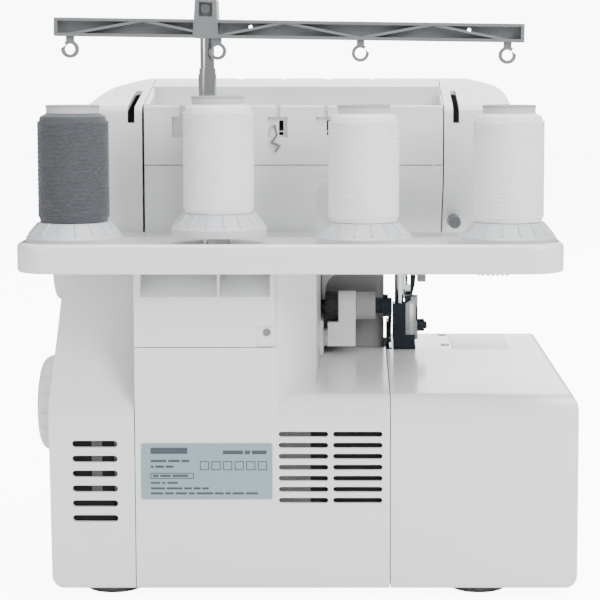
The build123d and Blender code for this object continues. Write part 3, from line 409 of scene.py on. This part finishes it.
# ---------------------------------------------------------------- mesh helpers
class Shape:
    """Collects faces for one piece, in metres."""

    def __init__(self) -> None:
        """Start empty."""
        self.points: list[Point] = []
        self.faces: list[tuple[int, ...]] = []

    def box(self, low: Sequence[float], high: Sequence[float]) -> None:
        """Add a block.

        Args:
            low: Its lowest corner.
            high: Its highest corner.
        """
        start = len(self.points)
        self.points += [(x, y, z) for z in (low[2], high[2]) for y in (low[1], high[1])
                        for x in (low[0], high[0])]
        for face in ((0, 2, 3, 1), (4, 5, 7, 6), (0, 1, 5, 4), (2, 6, 7, 3), (0, 4, 6, 2), (1, 3, 7, 5)):
            self.faces.append(tuple(start + k for k in face))

    def tube(self, path: Sequence[Sequence[float]], radius: float, sides: int) -> None:
        """Add a round tube along a path, with flat ends.

        Args:
            path: Points of its centre line.
            radius: Its radius.
            sides: Facets round it.
        """
        line = [Vector(p) for p in path]
        start, count = len(self.points), len(line)
        side = None
        for k, point in enumerate(line):
            ahead = line[k + 1] if k < count - 1 else point
            behind = line[k - 1] if k else point
            along = (ahead - behind).normalized()
            if side is None:
                side = along.orthogonal().normalized()
            side = (side - along * side.dot(along)).normalized()
            other = along.cross(side)
            for j in range(sides):
                turn = 2 * math.pi * j / sides
                self.points.append(tuple(point + radius * (math.cos(turn) * side + math.sin(turn) * other)))
        for k in range(count - 1):
            for j in range(sides):
                a, b = start + k * sides, start + (k + 1) * sides
                self.faces.append((a + j, a + (j + 1) % sides, b + (j + 1) % sides, b + j))
        self.faces.append(tuple(start + j for j in reversed(range(sides))))
        self.faces.append(tuple(start + (count - 1) * sides + j for j in range(sides)))

    def lathe(self, profile: Sequence[tuple[float, float]], centre: Sequence[float], axis: str = "Z",
              segments: int = 64, closed: bool = True) -> None:
        """Turn a profile of (radius, height) about an axis.

        Args:
            profile: Points from one end of the outline to the other.
            centre: Where the axis starts.
            axis: Which way it runs, X, Y or Z.
            segments: Facets round it.
            closed: Whether the outline joins up with its start.
        """
        start, count = len(self.points), len(profile)
        for k in range(segments):
            turn = 2 * math.pi * k / segments
            for radius, height in profile:
                a, b = radius * math.cos(turn), radius * math.sin(turn)
                offset = {"X": (height, a, b), "Y": (b, height, a), "Z": (a, b, height)}[axis]
                self.points.append(tuple(c + o for c, o in zip(centre, offset)))
        for k in range(segments):
            a, b = start + k * count, start + ((k + 1) % segments) * count
            for j in range(count if closed else count - 1):
                self.faces.append((a + j, b + j, b + (j + 1) % count, a + (j + 1) % count))

    def prism(self, outline: Sequence[tuple[float, float]], low: float, high: float) -> None:
        """Push an upright outline through a depth along Y.

        Args:
            outline: Its corners, as X and Z.
            low: Where the depth starts.
            high: Where it ends.
        """
        start, count = len(self.points), len(outline)
        self.points += [(x, depth, z) for depth in (low, high) for x, z in outline]
        for k in range(count):
            j = (k + 1) % count
            self.faces.append((start + k, start + j, start + count + j, start + count + k))
        self.faces.append(tuple(start + k for k in reversed(range(count))))
        self.faces.append(tuple(start + count + k for k in range(count)))

    def finish(self, name: str, stuff: Stuff, body: str, bevel_mm: float = 0.0,
               smooth_deg: float = 40.0) -> bpy.types.Object:
        """Turn the faces into a piece that rides on a body.

        Args:
            name: The piece's name.
            stuff: Its finish.
            body: The CAD body that it moves with.
            bevel_mm: Rounding of its edges.
            smooth_deg: Edges flatter than this are shaded smooth.

        Returns:
            The piece.
        """
        mesh = bpy.data.meshes.new(name)
        mesh.from_pydata(self.points, [], self.faces)
        mesh.validate()
        tidy_normals(mesh)
        mesh.shade_smooth()
        mesh.set_sharp_from_angle(angle=math.radians(smooth_deg))
        piece = bpy.data.objects.new(name, mesh)
        bpy.context.scene.collection.objects.link(piece)
        mesh.materials.append(PALETTE.get(stuff))
        if bevel_mm:
            soften(piece, bevel_mm)
        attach(piece, body)
        LOG.info("piece %s rides on %s", name, body)
        return piece


def tidy_normals(mesh: bpy.types.Mesh) -> None:
    """Point every face of a mesh outwards."""
    work = bmesh.new()
    work.from_mesh(mesh)
    bmesh.ops.recalc_face_normals(work, faces=work.faces)
    work.to_mesh(mesh)
    work.free()


def soften(piece: bpy.types.Object, width_mm: float) -> None:
    """Round a piece's sharp edges as a mould or a deburring wheel does.

    Args:
        piece: The piece.
        width_mm: Width of the rounding.
    """
    bevel = piece.modifiers.new("soft_edges", "BEVEL")
    bevel.width = width_mm * MM
    bevel.segments = EDGE_FACETS
    bevel.limit_method = "ANGLE"
    bevel.angle_limit = math.radians(EDGE_DEG)
    bevel.harden_normals = True


def dress(nodes: Iterable[str], stuff: Stuff, bevel_mm: float = 0.0) -> None:
    """Give CAD nodes a finish and soft edges.

    Args:
        nodes: Names of the nodes.
        stuff: Their finish.
        bevel_mm: Rounding of their edges, or 0 for none.
    """
    for name in nodes:
        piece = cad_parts[name]
        piece.data.materials.clear()
        piece.data.materials.append(PALETTE.get(stuff))
        if bevel_mm:
            soften(piece, bevel_mm)
        LOG.info("node %s is %s", name, stuff.value.name)


def middle(node: str) -> Vector:
    """Give the centre of a CAD node's box."""
    low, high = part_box(node)
    return (Vector(low) + Vector(high)) / 2


# ---------------------------------------------------------------- sub-assemblies
@dataclass
class Casings:
    """The white mouldings, the plates and feet on them, and what closes the holes behind them: near-black
    sheets of painted shade and grey boards.
    """

    white: tuple[str, ...] = ("side_casing", "rear_cover", "spool_bracket", "end_cover", "head_shell",
                              "rear_upper_cover", "rear_lower_cover", "face_cover", "front_cover")
    edge_mm: float = 0.3
    # Behind each group of vents, a near-black sheet of painted shade: name, then the sheet's X limits and Z
    # limits, in mm.
    vent_shade_sheets: tuple[tuple[str, float, float, float, float], ...] = (
        ("base_vent_painted_shade", -51, 11, 53, 98), ("side_vent_painted_shade", 100, 130, 41, 94))
    # Grey boards that show through the vents: X limits and Z limits, in mm.
    boards: tuple[tuple[float, float, float, float], ...] = (
        (-8, 9.5, 54, 97), (111, 117, 60, 93), (101, 104, 60, 93))
    shade_sheet_depth_mm: float = 3.3
    shade_sheet_mm: float = 1.2
    shade_sheet_ribs: int = 5
    rib_half_mm: float = 0.6
    rib_depth_mm: float = 4.0
    side_x_mm: float = -10.0
    pillar_y_mm: float = -71.9
    corner_mm: float = 12.0
    border_mm: float = 3.0
    hidden_mm: float = 14.5
    tail_mm: float = 24.0

    def build(self) -> None:
        """Dress the casings, back the vents and slots with painted shade, and line the throat."""
        dress(self.white, Stuff.CASING, self.edge_mm)
        dress(("column_cover",), Stuff.PILLAR)
        dress(("bottom_pan",), Stuff.PAN)
        dress(("rubber_feet",), Stuff.RUBBER)
        dress(("cloth_plate",), Stuff.PANEL)
        dress(("needle_plate", "lower_knife", "feed_dog"), Stuff.PLATE)
        dress(("screws",), Stuff.SCREW)
        self.back_vents_with_painted_shade()
        self.back_slots_with_painted_shade()
        self.throat_lining()
        self.throat_corner()

    def back_vents_with_painted_shade(self) -> None:
        """Stand ribbed near-black sheets of painted shade and a few grey boards behind the vents."""
        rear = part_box("rear_cover")[1][1] - self.shade_sheet_depth_mm * MM
        for name, x_low, x_high, z_low, z_high in self.vent_shade_sheets:
            shade_sheet = Shape()
            behind = rear - self.shade_sheet_mm * MM
            shade_sheet.box((x_low * MM, behind, z_low * MM), (x_high * MM, rear, z_high * MM))
            for k in range(self.shade_sheet_ribs):
                rib = (x_low + (x_high - x_low) * (k + 0.5) / self.shade_sheet_ribs) * MM
                half = self.rib_half_mm * MM
                shade_sheet.box((rib - half, rear - self.rib_depth_mm * MM, z_low * MM),
                         (rib + half, behind, z_high * MM))
            # Near-black sheet of painted shade behind the vents.
            shade_sheet.finish(name, Stuff.SHADOW, "machine", 0.1)
        board = Shape()
        for x_low, x_high, z_low, z_high in self.boards:
            board.box((x_low * MM, rear + 0.2 * MM, z_low * MM), (x_high * MM, rear + 0.8 * MM, z_high * MM))
        board.finish("inner_boards", Stuff.RUBBER, "machine", 0.1)

    def back_slots_with_painted_shade(self) -> None:
        """Back the thread-guide slots at the head's rear with near-black painted shade, one sheet for each
        slot.
        """
        low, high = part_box("rear_upper_cover")
        first = middle("tension_dial_1").x
        pitch = first - middle("tension_dial_2").x
        shade_sheet = Shape()
        for k in range(-1, 4):
            x = first - k * pitch
            shade_sheet.box((x - 5 * MM, low[1] - 1.2 * MM, high[2] - 20 * MM),
                     (x + 5 * MM, low[1] - 0.2 * MM, high[2] - 6 * MM))
        # Near-black sheets of painted shade behind the slots.
        shade_sheet.finish("guide_slot_painted_shade", Stuff.SHADOW, "machine", 0.1)

    def throat_lining(self) -> None:
        """Line the column's throat side in white, behind the knife bracket."""
        low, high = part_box("column_cover")
        side = self.side_x_mm * MM
        lining = Shape()
        lining.box((side - 0.5 * MM, -38 * MM, low[2] + 0.5 * MM),
                   (side - 0.05 * MM, 59 * MM, high[2] - 0.3 * MM))
        lining.finish("throat_lining", Stuff.CASING, "machine", 0.2)

    def throat_corner(self) -> None:
        """Frame the front pillar's wall in white with a rounded upper corner."""
        low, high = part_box("column_cover")
        side, wall = self.side_x_mm * MM, self.pillar_y_mm * MM
        edge, inner = side - 0.6 * MM, side - self.border_mm * MM
        top, foot = high[2] - 0.3 * MM, low[2] + self.tail_mm * MM
        reach, under = self.corner_mm * MM, top - self.hidden_mm * MM
        arc = [(inner - reach + reach * math.cos(a), under - reach + reach * math.sin(a))
               for a in (math.radians(9 * k) for k in range(11))]
        end = inner - reach - self.tail_mm * MM
        corner = Shape()
        corner.prism([(edge, foot), (inner, foot), *arc, (end, under), (end, top), (edge, top)],
                     wall, wall + 0.8 * MM)
        corner.finish("throat_corner_frame", Stuff.CASING, "machine", 0.2)


@dataclass
class Works:
    """The cast frame, the drive, the power parts and the bright rods and loopers."""

    def build(self) -> None:
        """Dress what the covers hide."""
        dress(("chassis",), Stuff.CAST)
        dress(("main_shaft", "motor_pulley"), Stuff.SHAFT)
        dress(("main_pulley", "power_inlet", "power_switch"), Stuff.BLACK)
        dress(("motor",), Stuff.CAN)
        dress(("drive_belt",), Stuff.BELT)
        dress(("upper_looper", "lower_looper", "needle_bar", "presser_bar", "thread_guides"), Stuff.CHROME)


@dataclass
class Controls:
    """Wheels and levers that the operator turns."""

    edge_mm: float = 0.3

    def build(self) -> None:
        """Dress the wheels and the presser lever."""
        tension = tuple(f"tension_dial_{k}" for k in range(1, 5))
        dress(("handwheel", "stitch_dial", "differential_dial", "presser_lifter", *tension), Stuff.CONTROL,
              self.edge_mm)


@dataclass
class NeedleArea:
    """Foot, knives and what drives them over the bed."""

    # Corners of the notched plate on the foot, as X and Z in mm.
    plate_mm: tuple[tuple[float, float], ...] = (
        (-66.2, 124), (-74.0, 124), (-74.0, 134.5), (-73.2, 136), (-73.2, 145), (-74.2, 147), (-74.2, 151.5),
        (-69.8, 151.5), (-69.8, 149), (-66.2, 147))
    # Corners of the tapered thread guide beside the needle clamp, as X and Z in mm.
    guide_mm: tuple[tuple[float, float], ...] = (
        (-69.9, 166), (-73.6, 166), (-72.9, 158), (-70.9, 150), (-69.9, 150))
    plate_rear_mm: float = -63.0
    plate_thick_mm: float = 0.9
    strip_thick_mm: float = 0.4
    guide_half_mm: float = 2.6
    nut_at_mm: Point = (-80.0, -66.0, 132.0)
    clamp_x_mm: float = -65.0
    clamp_half_mm: float = 3.5
    clamp_z_mm: float = 153.0

    def build(self) -> None:
        """Dress the foot and the knives and add their small metal parts."""
        dress(("presser_foot", "knife_shaft", "upper_knife"), Stuff.DARK_STEEL, 0.2)
        dress(("knife_sleeve",), Stuff.SLEEVE, 0.3)
        dress(("knife_knob",), Stuff.BLACK)
        dress(("knife_bracket",), Stuff.PANEL, 0.3)
        self.clamp_arm()
        self.foot_frame()

    def foot_frame(self) -> None:
        """Add the bright notched plate, its spring strip and the nut's cap on the foot."""
        rear = self.plate_rear_mm * MM
        face = rear + self.plate_thick_mm * MM
        plate = Shape()
        plate.prism([(x * MM, z * MM) for x, z in self.plate_mm], rear, face)
        plate.finish("foot_side_plate", Stuff.SHAFT, "presser", 0.15)
        strip = Shape()
        strip.box((-71.6 * MM, face, 126 * MM), (-68.8 * MM, face + self.strip_thick_mm * MM, 147 * MM))
        strip.finish("foot_spring_strip", Stuff.CHROME, "presser", 0.1)
        nut = Shape()
        nut.lathe([(0, -0.6 * MM), (2.0 * MM, -0.6 * MM), (2.3 * MM, -0.2 * MM), (2.3 * MM, 0), (0, 0)],
                  tuple(c * MM for c in self.nut_at_mm), "X", 6, closed=False)
        nut.finish("foot_nut_cap", Stuff.SCREW, "presser", 0.1)

    def clamp_arm(self) -> None:
        """Add the tapered thread guide beside the needle clamp, and the clamp's screw."""
        low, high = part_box("needle_bar")
        y = (low[1] + high[1]) / 2
        half = self.guide_half_mm * MM
        arm = Shape()
        arm.prism([(across * MM, z * MM) for across, z in self.guide_mm], y - half, y + half)
        arm.finish("needle_thread_guide", Stuff.DARK_STEEL, "needle_drive", 0.3)
        screw = Shape()
        screw.lathe([(0, 0), (1.7 * MM, 0), (1.7 * MM, 1.6 * MM), (1.2 * MM, 2.0 * MM), (0, 2.0 * MM)],
                    (self.clamp_x_mm * MM, y + self.clamp_half_mm * MM, self.clamp_z_mm * MM),
                    "Y", 24, closed=False)
        screw.finish("needle_clamp_screw", Stuff.SCREW, "needle_drive", 0.1)


@dataclass
class SpoolStand:
    """Tray, pins, pole and the guide bar."""

    bar_edge_mm: float = 0.15

    def build(self) -> None:
        """Dress the stand."""
        dress(("spool_tray",), Stuff.CASING)
        dress(("spool_pins",), Stuff.PANEL)
        dress(("pole_tube", "pole_rod"), Stuff.CHROME)
        dress(("guide_bar",), Stuff.GUIDE, self.bar_edge_mm)
        dress(("guide_screw",), Stuff.SCREW)


@dataclass
class RatingLabel:
    """Foil label with generic printed rows that say nothing."""

    ink_mm: float = 0.06
    gap_mm: float = 1.0
    line_mm: float = 0.5
    # Each row: distances from the left and top edges, height and the dashes' lengths, in mm.
    rows: tuple[tuple[float, float, float, tuple[float, ...]], ...] = (
        (5.4, 2.4, 3.6, (21.0,)), (46.5, 4.0, 2.2, (11.5, 3.0, 8.4)),
        (5.4, 9.4, 1.3, (9.0, 6.5, 4.5)), (5.4, 12.7, 1.3, (1.6, 5.0, 4.4)),
        (6.6, 18.0, 1.3, (3.2, 6.0, 9.0)), (5.4, 22.2, 1.1, (5.4, 2.0, 6.0)),
        (5.4, 25.3, 1.2, (8.0, 9.0, 4.4, 4.0, 3.6)),
        (5.4, 28.2, 1.2, (7.0, 5.0, 6.5, 3.4, 9.6, 5.0, 3.0, 6.6, 7.0)),
    )
    # Each blank box: distances from the left edge and from the top edge, in mm.
    boxes: tuple[tuple[float, float, float, float], ...] = (
        *((start, start + 5.2, 10.2, 15.4) for start in (33.4, 40.0, 46.6, 53.2, 59.8, 66.4)),
        (5.2, 30.0, 16.9, 20.4),
    )

    def build(self) -> None:
        """Dress the foil and print rows of plain dashes and blank boxes on it."""
        dress(("rating_plate",), Stuff.FOIL)
        _, (left, face, top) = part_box("rating_plate")
        ink = Shape()
        for start, drop, tall, lengths in self.rows:
            across = start
            for length in lengths:
                self.print_block(ink, face, left - (across + length) * MM, left - across * MM,
                                 top - (drop + tall) * MM, top - drop * MM)
                across += length + self.gap_mm
        for start, stop, drop, foot in self.boxes:
            self.print_frame(ink, face, left - stop * MM, left - start * MM, top - foot * MM, top - drop * MM)
        ink.finish("label_rows", Stuff.INK, "machine")

    def print_block(self, ink: Shape, face: float, x_low: float, x_high: float, z_low: float,
                    z_high: float) -> None:
        """Print one solid block on the foil's face."""
        ink.box((x_low, face, z_low), (x_high, face + self.ink_mm * MM, z_high))

    def print_frame(self, ink: Shape, face: float, x_low: float, x_high: float, z_low: float,
                    z_high: float) -> None:
        """Print one blank box as four thin lines."""
        line = self.line_mm * MM
        self.print_block(ink, face, x_low, x_high, z_low, z_low + line)
        self.print_block(ink, face, x_low, x_high, z_high - line, z_high)
        self.print_block(ink, face, x_low, x_low + line, z_low + line, z_high - line)
        self.print_block(ink, face, x_high - line, x_high, z_low + line, z_high - line)


@dataclass
class ThreadCones:
    """Four frosted cones, each cross-wound with thread."""

    strand_mm: float = 0.27
    traverses: int = 26
    turns: float = 5.37
    steps: int = 34
    foot_mm: float = 2.6
    shoulder_mm: float = 4.6
    ribs: int = 16
    rib_mm: float = 0.7
    # Radius and height of a shoulder rib's bends, and of the tube rim's outline below its top, in mm.
    rib_bends: tuple[tuple[float, float], ...] = ((25.3, 5.6), (22.4, 9.1), (19.6, 12.2))
    rim: tuple[tuple[float, float], ...] = ((13.35, -1.4), (15.1, -1.4), (15.1, -0.3), (14.7, 0), (13.35, 0))

    def build(self) -> None:
        """Dress the cones and lay the outer windings, the shoulder ribs and the tube rims."""
        for k in range(1, 5):
            stuff, slot = ((Stuff.THREAD_DARK, "thread_dark") if k == 1
                           else (Stuff.THREAD_WHITE, "thread_white"))
            dress((f"spool_{k}",), Stuff.FROSTED)
            dress((f"thread_{k}",), stuff)
            self.wind(k, stuff)
            self.trim(k)

    def wind(self, k: int, stuff: Stuff) -> None:
        """Lay the last layers of thread up and down one winding.

        Args:
            k: Which cone, from 1.
            stuff: Its thread.
        """
        low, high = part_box(f"thread_{k}")
        axis = middle(f"thread_{k}")
        radius = (high[0] - low[0]) / 2
        bottom, top = low[2] + self.foot_mm * MM, high[2] - self.shoulder_mm * MM
        path = []
        for j in range(int(self.traverses * self.turns * self.steps)):
            share = j / (self.turns * self.steps)
            along = share % 2
            height = bottom + (top - bottom) * (along if along < 1 else 2 - along)
            turn = 2 * math.pi * j / self.steps
            reach = radius + (0.06 + 0.05 * (share % 3)) * MM
            path.append((axis.x + reach * math.cos(turn), axis.y + reach * math.sin(turn), height))
        strand = Shape()
        strand.tube(path, self.strand_mm * MM, 5)
        strand.finish(f"winding_{k}", stuff, f"cone_{k}", smooth_deg=80)

    def trim(self, k: int) -> None:
        """Add the ribs on one cone's shoulder and the rim of its tube.

        Args:
            k: Which cone, from 1.
        """
        low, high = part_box(f"spool_{k}")
        axis = middle(f"spool_{k}")
        ribs = Shape()
        for j in range(self.ribs):
            turn = 2 * math.pi * (j + 0.5) / self.ribs
            ends = [(axis.x + r * MM * math.cos(turn), axis.y + r * MM * math.sin(turn), low[2] + z * MM)
                    for r, z in self.rib_bends]
            ribs.tube(ends, self.rib_mm * MM, 8)
        ribs.finish(f"cone_ribs_{k}", Stuff.FROSTED, f"cone_{k}")
        rim = Shape()
        rim.lathe([(radius * MM, height * MM) for radius, height in self.rim], (axis.x, axis.y, high[2]))
        rim.finish(f"cone_rim_{k}", Stuff.SLEEVE, f"cone_{k}")


# ---------------------------------------------------------------- studio
@dataclass
class Studio:
    """Pale floor, soft lights and the camera behind the machine."""

    camera_at: Point = (-0.0369, 1.0982, 0.2995)
    pitch_deg: float = 5.0
    lens_mm: float = 105.69
    shift_x: float = -0.1023
    shift_y: float = -0.1221
    surround: float = 0.6
    backdrop: float = 12.0
    paper_glow: float = 9.0
    floor_reach: float = 6.0
    aim: Point = (0.0, 0.0, 0.17)
    # Each soft box: name, place, side in metres and watts.
    boxes: tuple[tuple[str, Point, float, float], ...] = (
        ("key_softbox", (-1.3, 1.25, 1.1), 0.9, 44.0), ("fill_softbox", (1.5, 1.3, 0.8), 1.0, 16.0),
        ("top_softbox", (-0.1, 0.1, 1.8), 1.3, 42.0), ("far_softbox", (-0.2, -1.7, 0.9), 1.4, 22.0),
    )

    def build(self) -> None:
        """Set up floor, light and camera."""
        self.floor()
        self.lights()
        self.camera()

    def floor(self) -> None:
        """Lay a wide pale floor."""
        mesh = bpy.data.meshes.new("floor")
        reach = self.floor_reach
        mesh.from_pydata([(-reach, -reach, 0), (reach, -reach, 0), (reach, reach, 0), (-reach, reach, 0)], [],
                         [(0, 1, 2, 3)])
        floor = bpy.data.objects.new("floor", mesh)
        bpy.context.scene.collection.objects.link(floor)
        paper = Finish("studio_paper_white", "#F4F4F4", 0.9).make()
        tree = paper.node_tree
        ray = add_node(tree, "ShaderNodeLightPath")
        glow = add_node(tree, "ShaderNodeMath", {"operation": "MULTIPLY"},
                        links={0: ray.outputs["Is Camera Ray"]})
        glow.inputs[1].default_value = self.paper_glow
        shine = add_node(tree, "ShaderNodeEmission", links={"Strength": glow.outputs[0]})
        both = add_node(tree, "ShaderNodeAddShader", links={0: tree.nodes["Principled BSDF"].outputs[0],
                                                            1: shine.outputs[0]})
        tree.links.new(both.outputs[0], tree.nodes["Material Output"].inputs["Surface"])
        mesh.materials.append(paper)

    def lights(self) -> None:
        """Hang soft boxes and light the surroundings."""
        world = bpy.data.worlds.new("studio")
        world.use_nodes = True
        tree = world.node_tree
        tree.nodes.clear()
        around = add_node(tree, "ShaderNodeBackground", Strength=self.surround)
        behind = add_node(tree, "ShaderNodeBackground", Strength=self.backdrop)
        ray = add_node(tree, "ShaderNodeLightPath")
        pick = add_node(tree, "ShaderNodeMixShader", links={0: ray.outputs["Is Camera Ray"],
                                                            1: around.outputs[0], 2: behind.outputs[0]})
        add_node(tree, "ShaderNodeOutputWorld", links={"Surface": pick.outputs[0]})
        bpy.context.scene.world = world
        for name, at, size, watts in self.boxes:
            self.softbox(name, at, size, watts)

    def softbox(self, name: str, at: Point, size: float, watts: float) -> None:
        """Hang one soft box aimed at the machine.

        Args:
            name: The light's name.
            at: Its place.
            size: Its side.
            watts: Its power.
        """
        light = bpy.data.lights.new(name, "AREA")
        light.size = size
        light.energy = watts
        lamp = bpy.data.objects.new(name, light)
        lamp.location = at
        lamp.rotation_euler = (Vector(self.aim) - Vector(at)).to_track_quat("-Z", "Y").to_euler()
        bpy.context.scene.collection.objects.link(lamp)

    def camera(self) -> None:
        """Stand the camera behind the machine, a little above its top."""
        lens = bpy.data.cameras.new("camera")
        lens.lens = self.lens_mm
        lens.sensor_width = 36.0
        lens.shift_x = self.shift_x
        lens.shift_y = self.shift_y
        lens.clip_end = 50.0
        camera = bpy.data.objects.new("camera", lens)
        camera.location = self.camera_at
        camera.rotation_euler = Euler((math.radians(90 - self.pitch_deg), 0, math.radians(180)))
        bpy.context.scene.collection.objects.link(camera)
        bpy.context.scene.camera = camera


def main() -> None:
    """Build the studio and dress every sub-assembly."""
    logging.basicConfig(level=logging.INFO, format="%(message)s")
    Studio().build()
    for assembly in (Casings(), Works(), Controls(), NeedleArea(), SpoolStand(), RatingLabel(),
                     ThreadCones()):
        assembly.build()
        LOG.info("%s done", type(assembly).__name__)


if __name__ == "__main__":
    main()
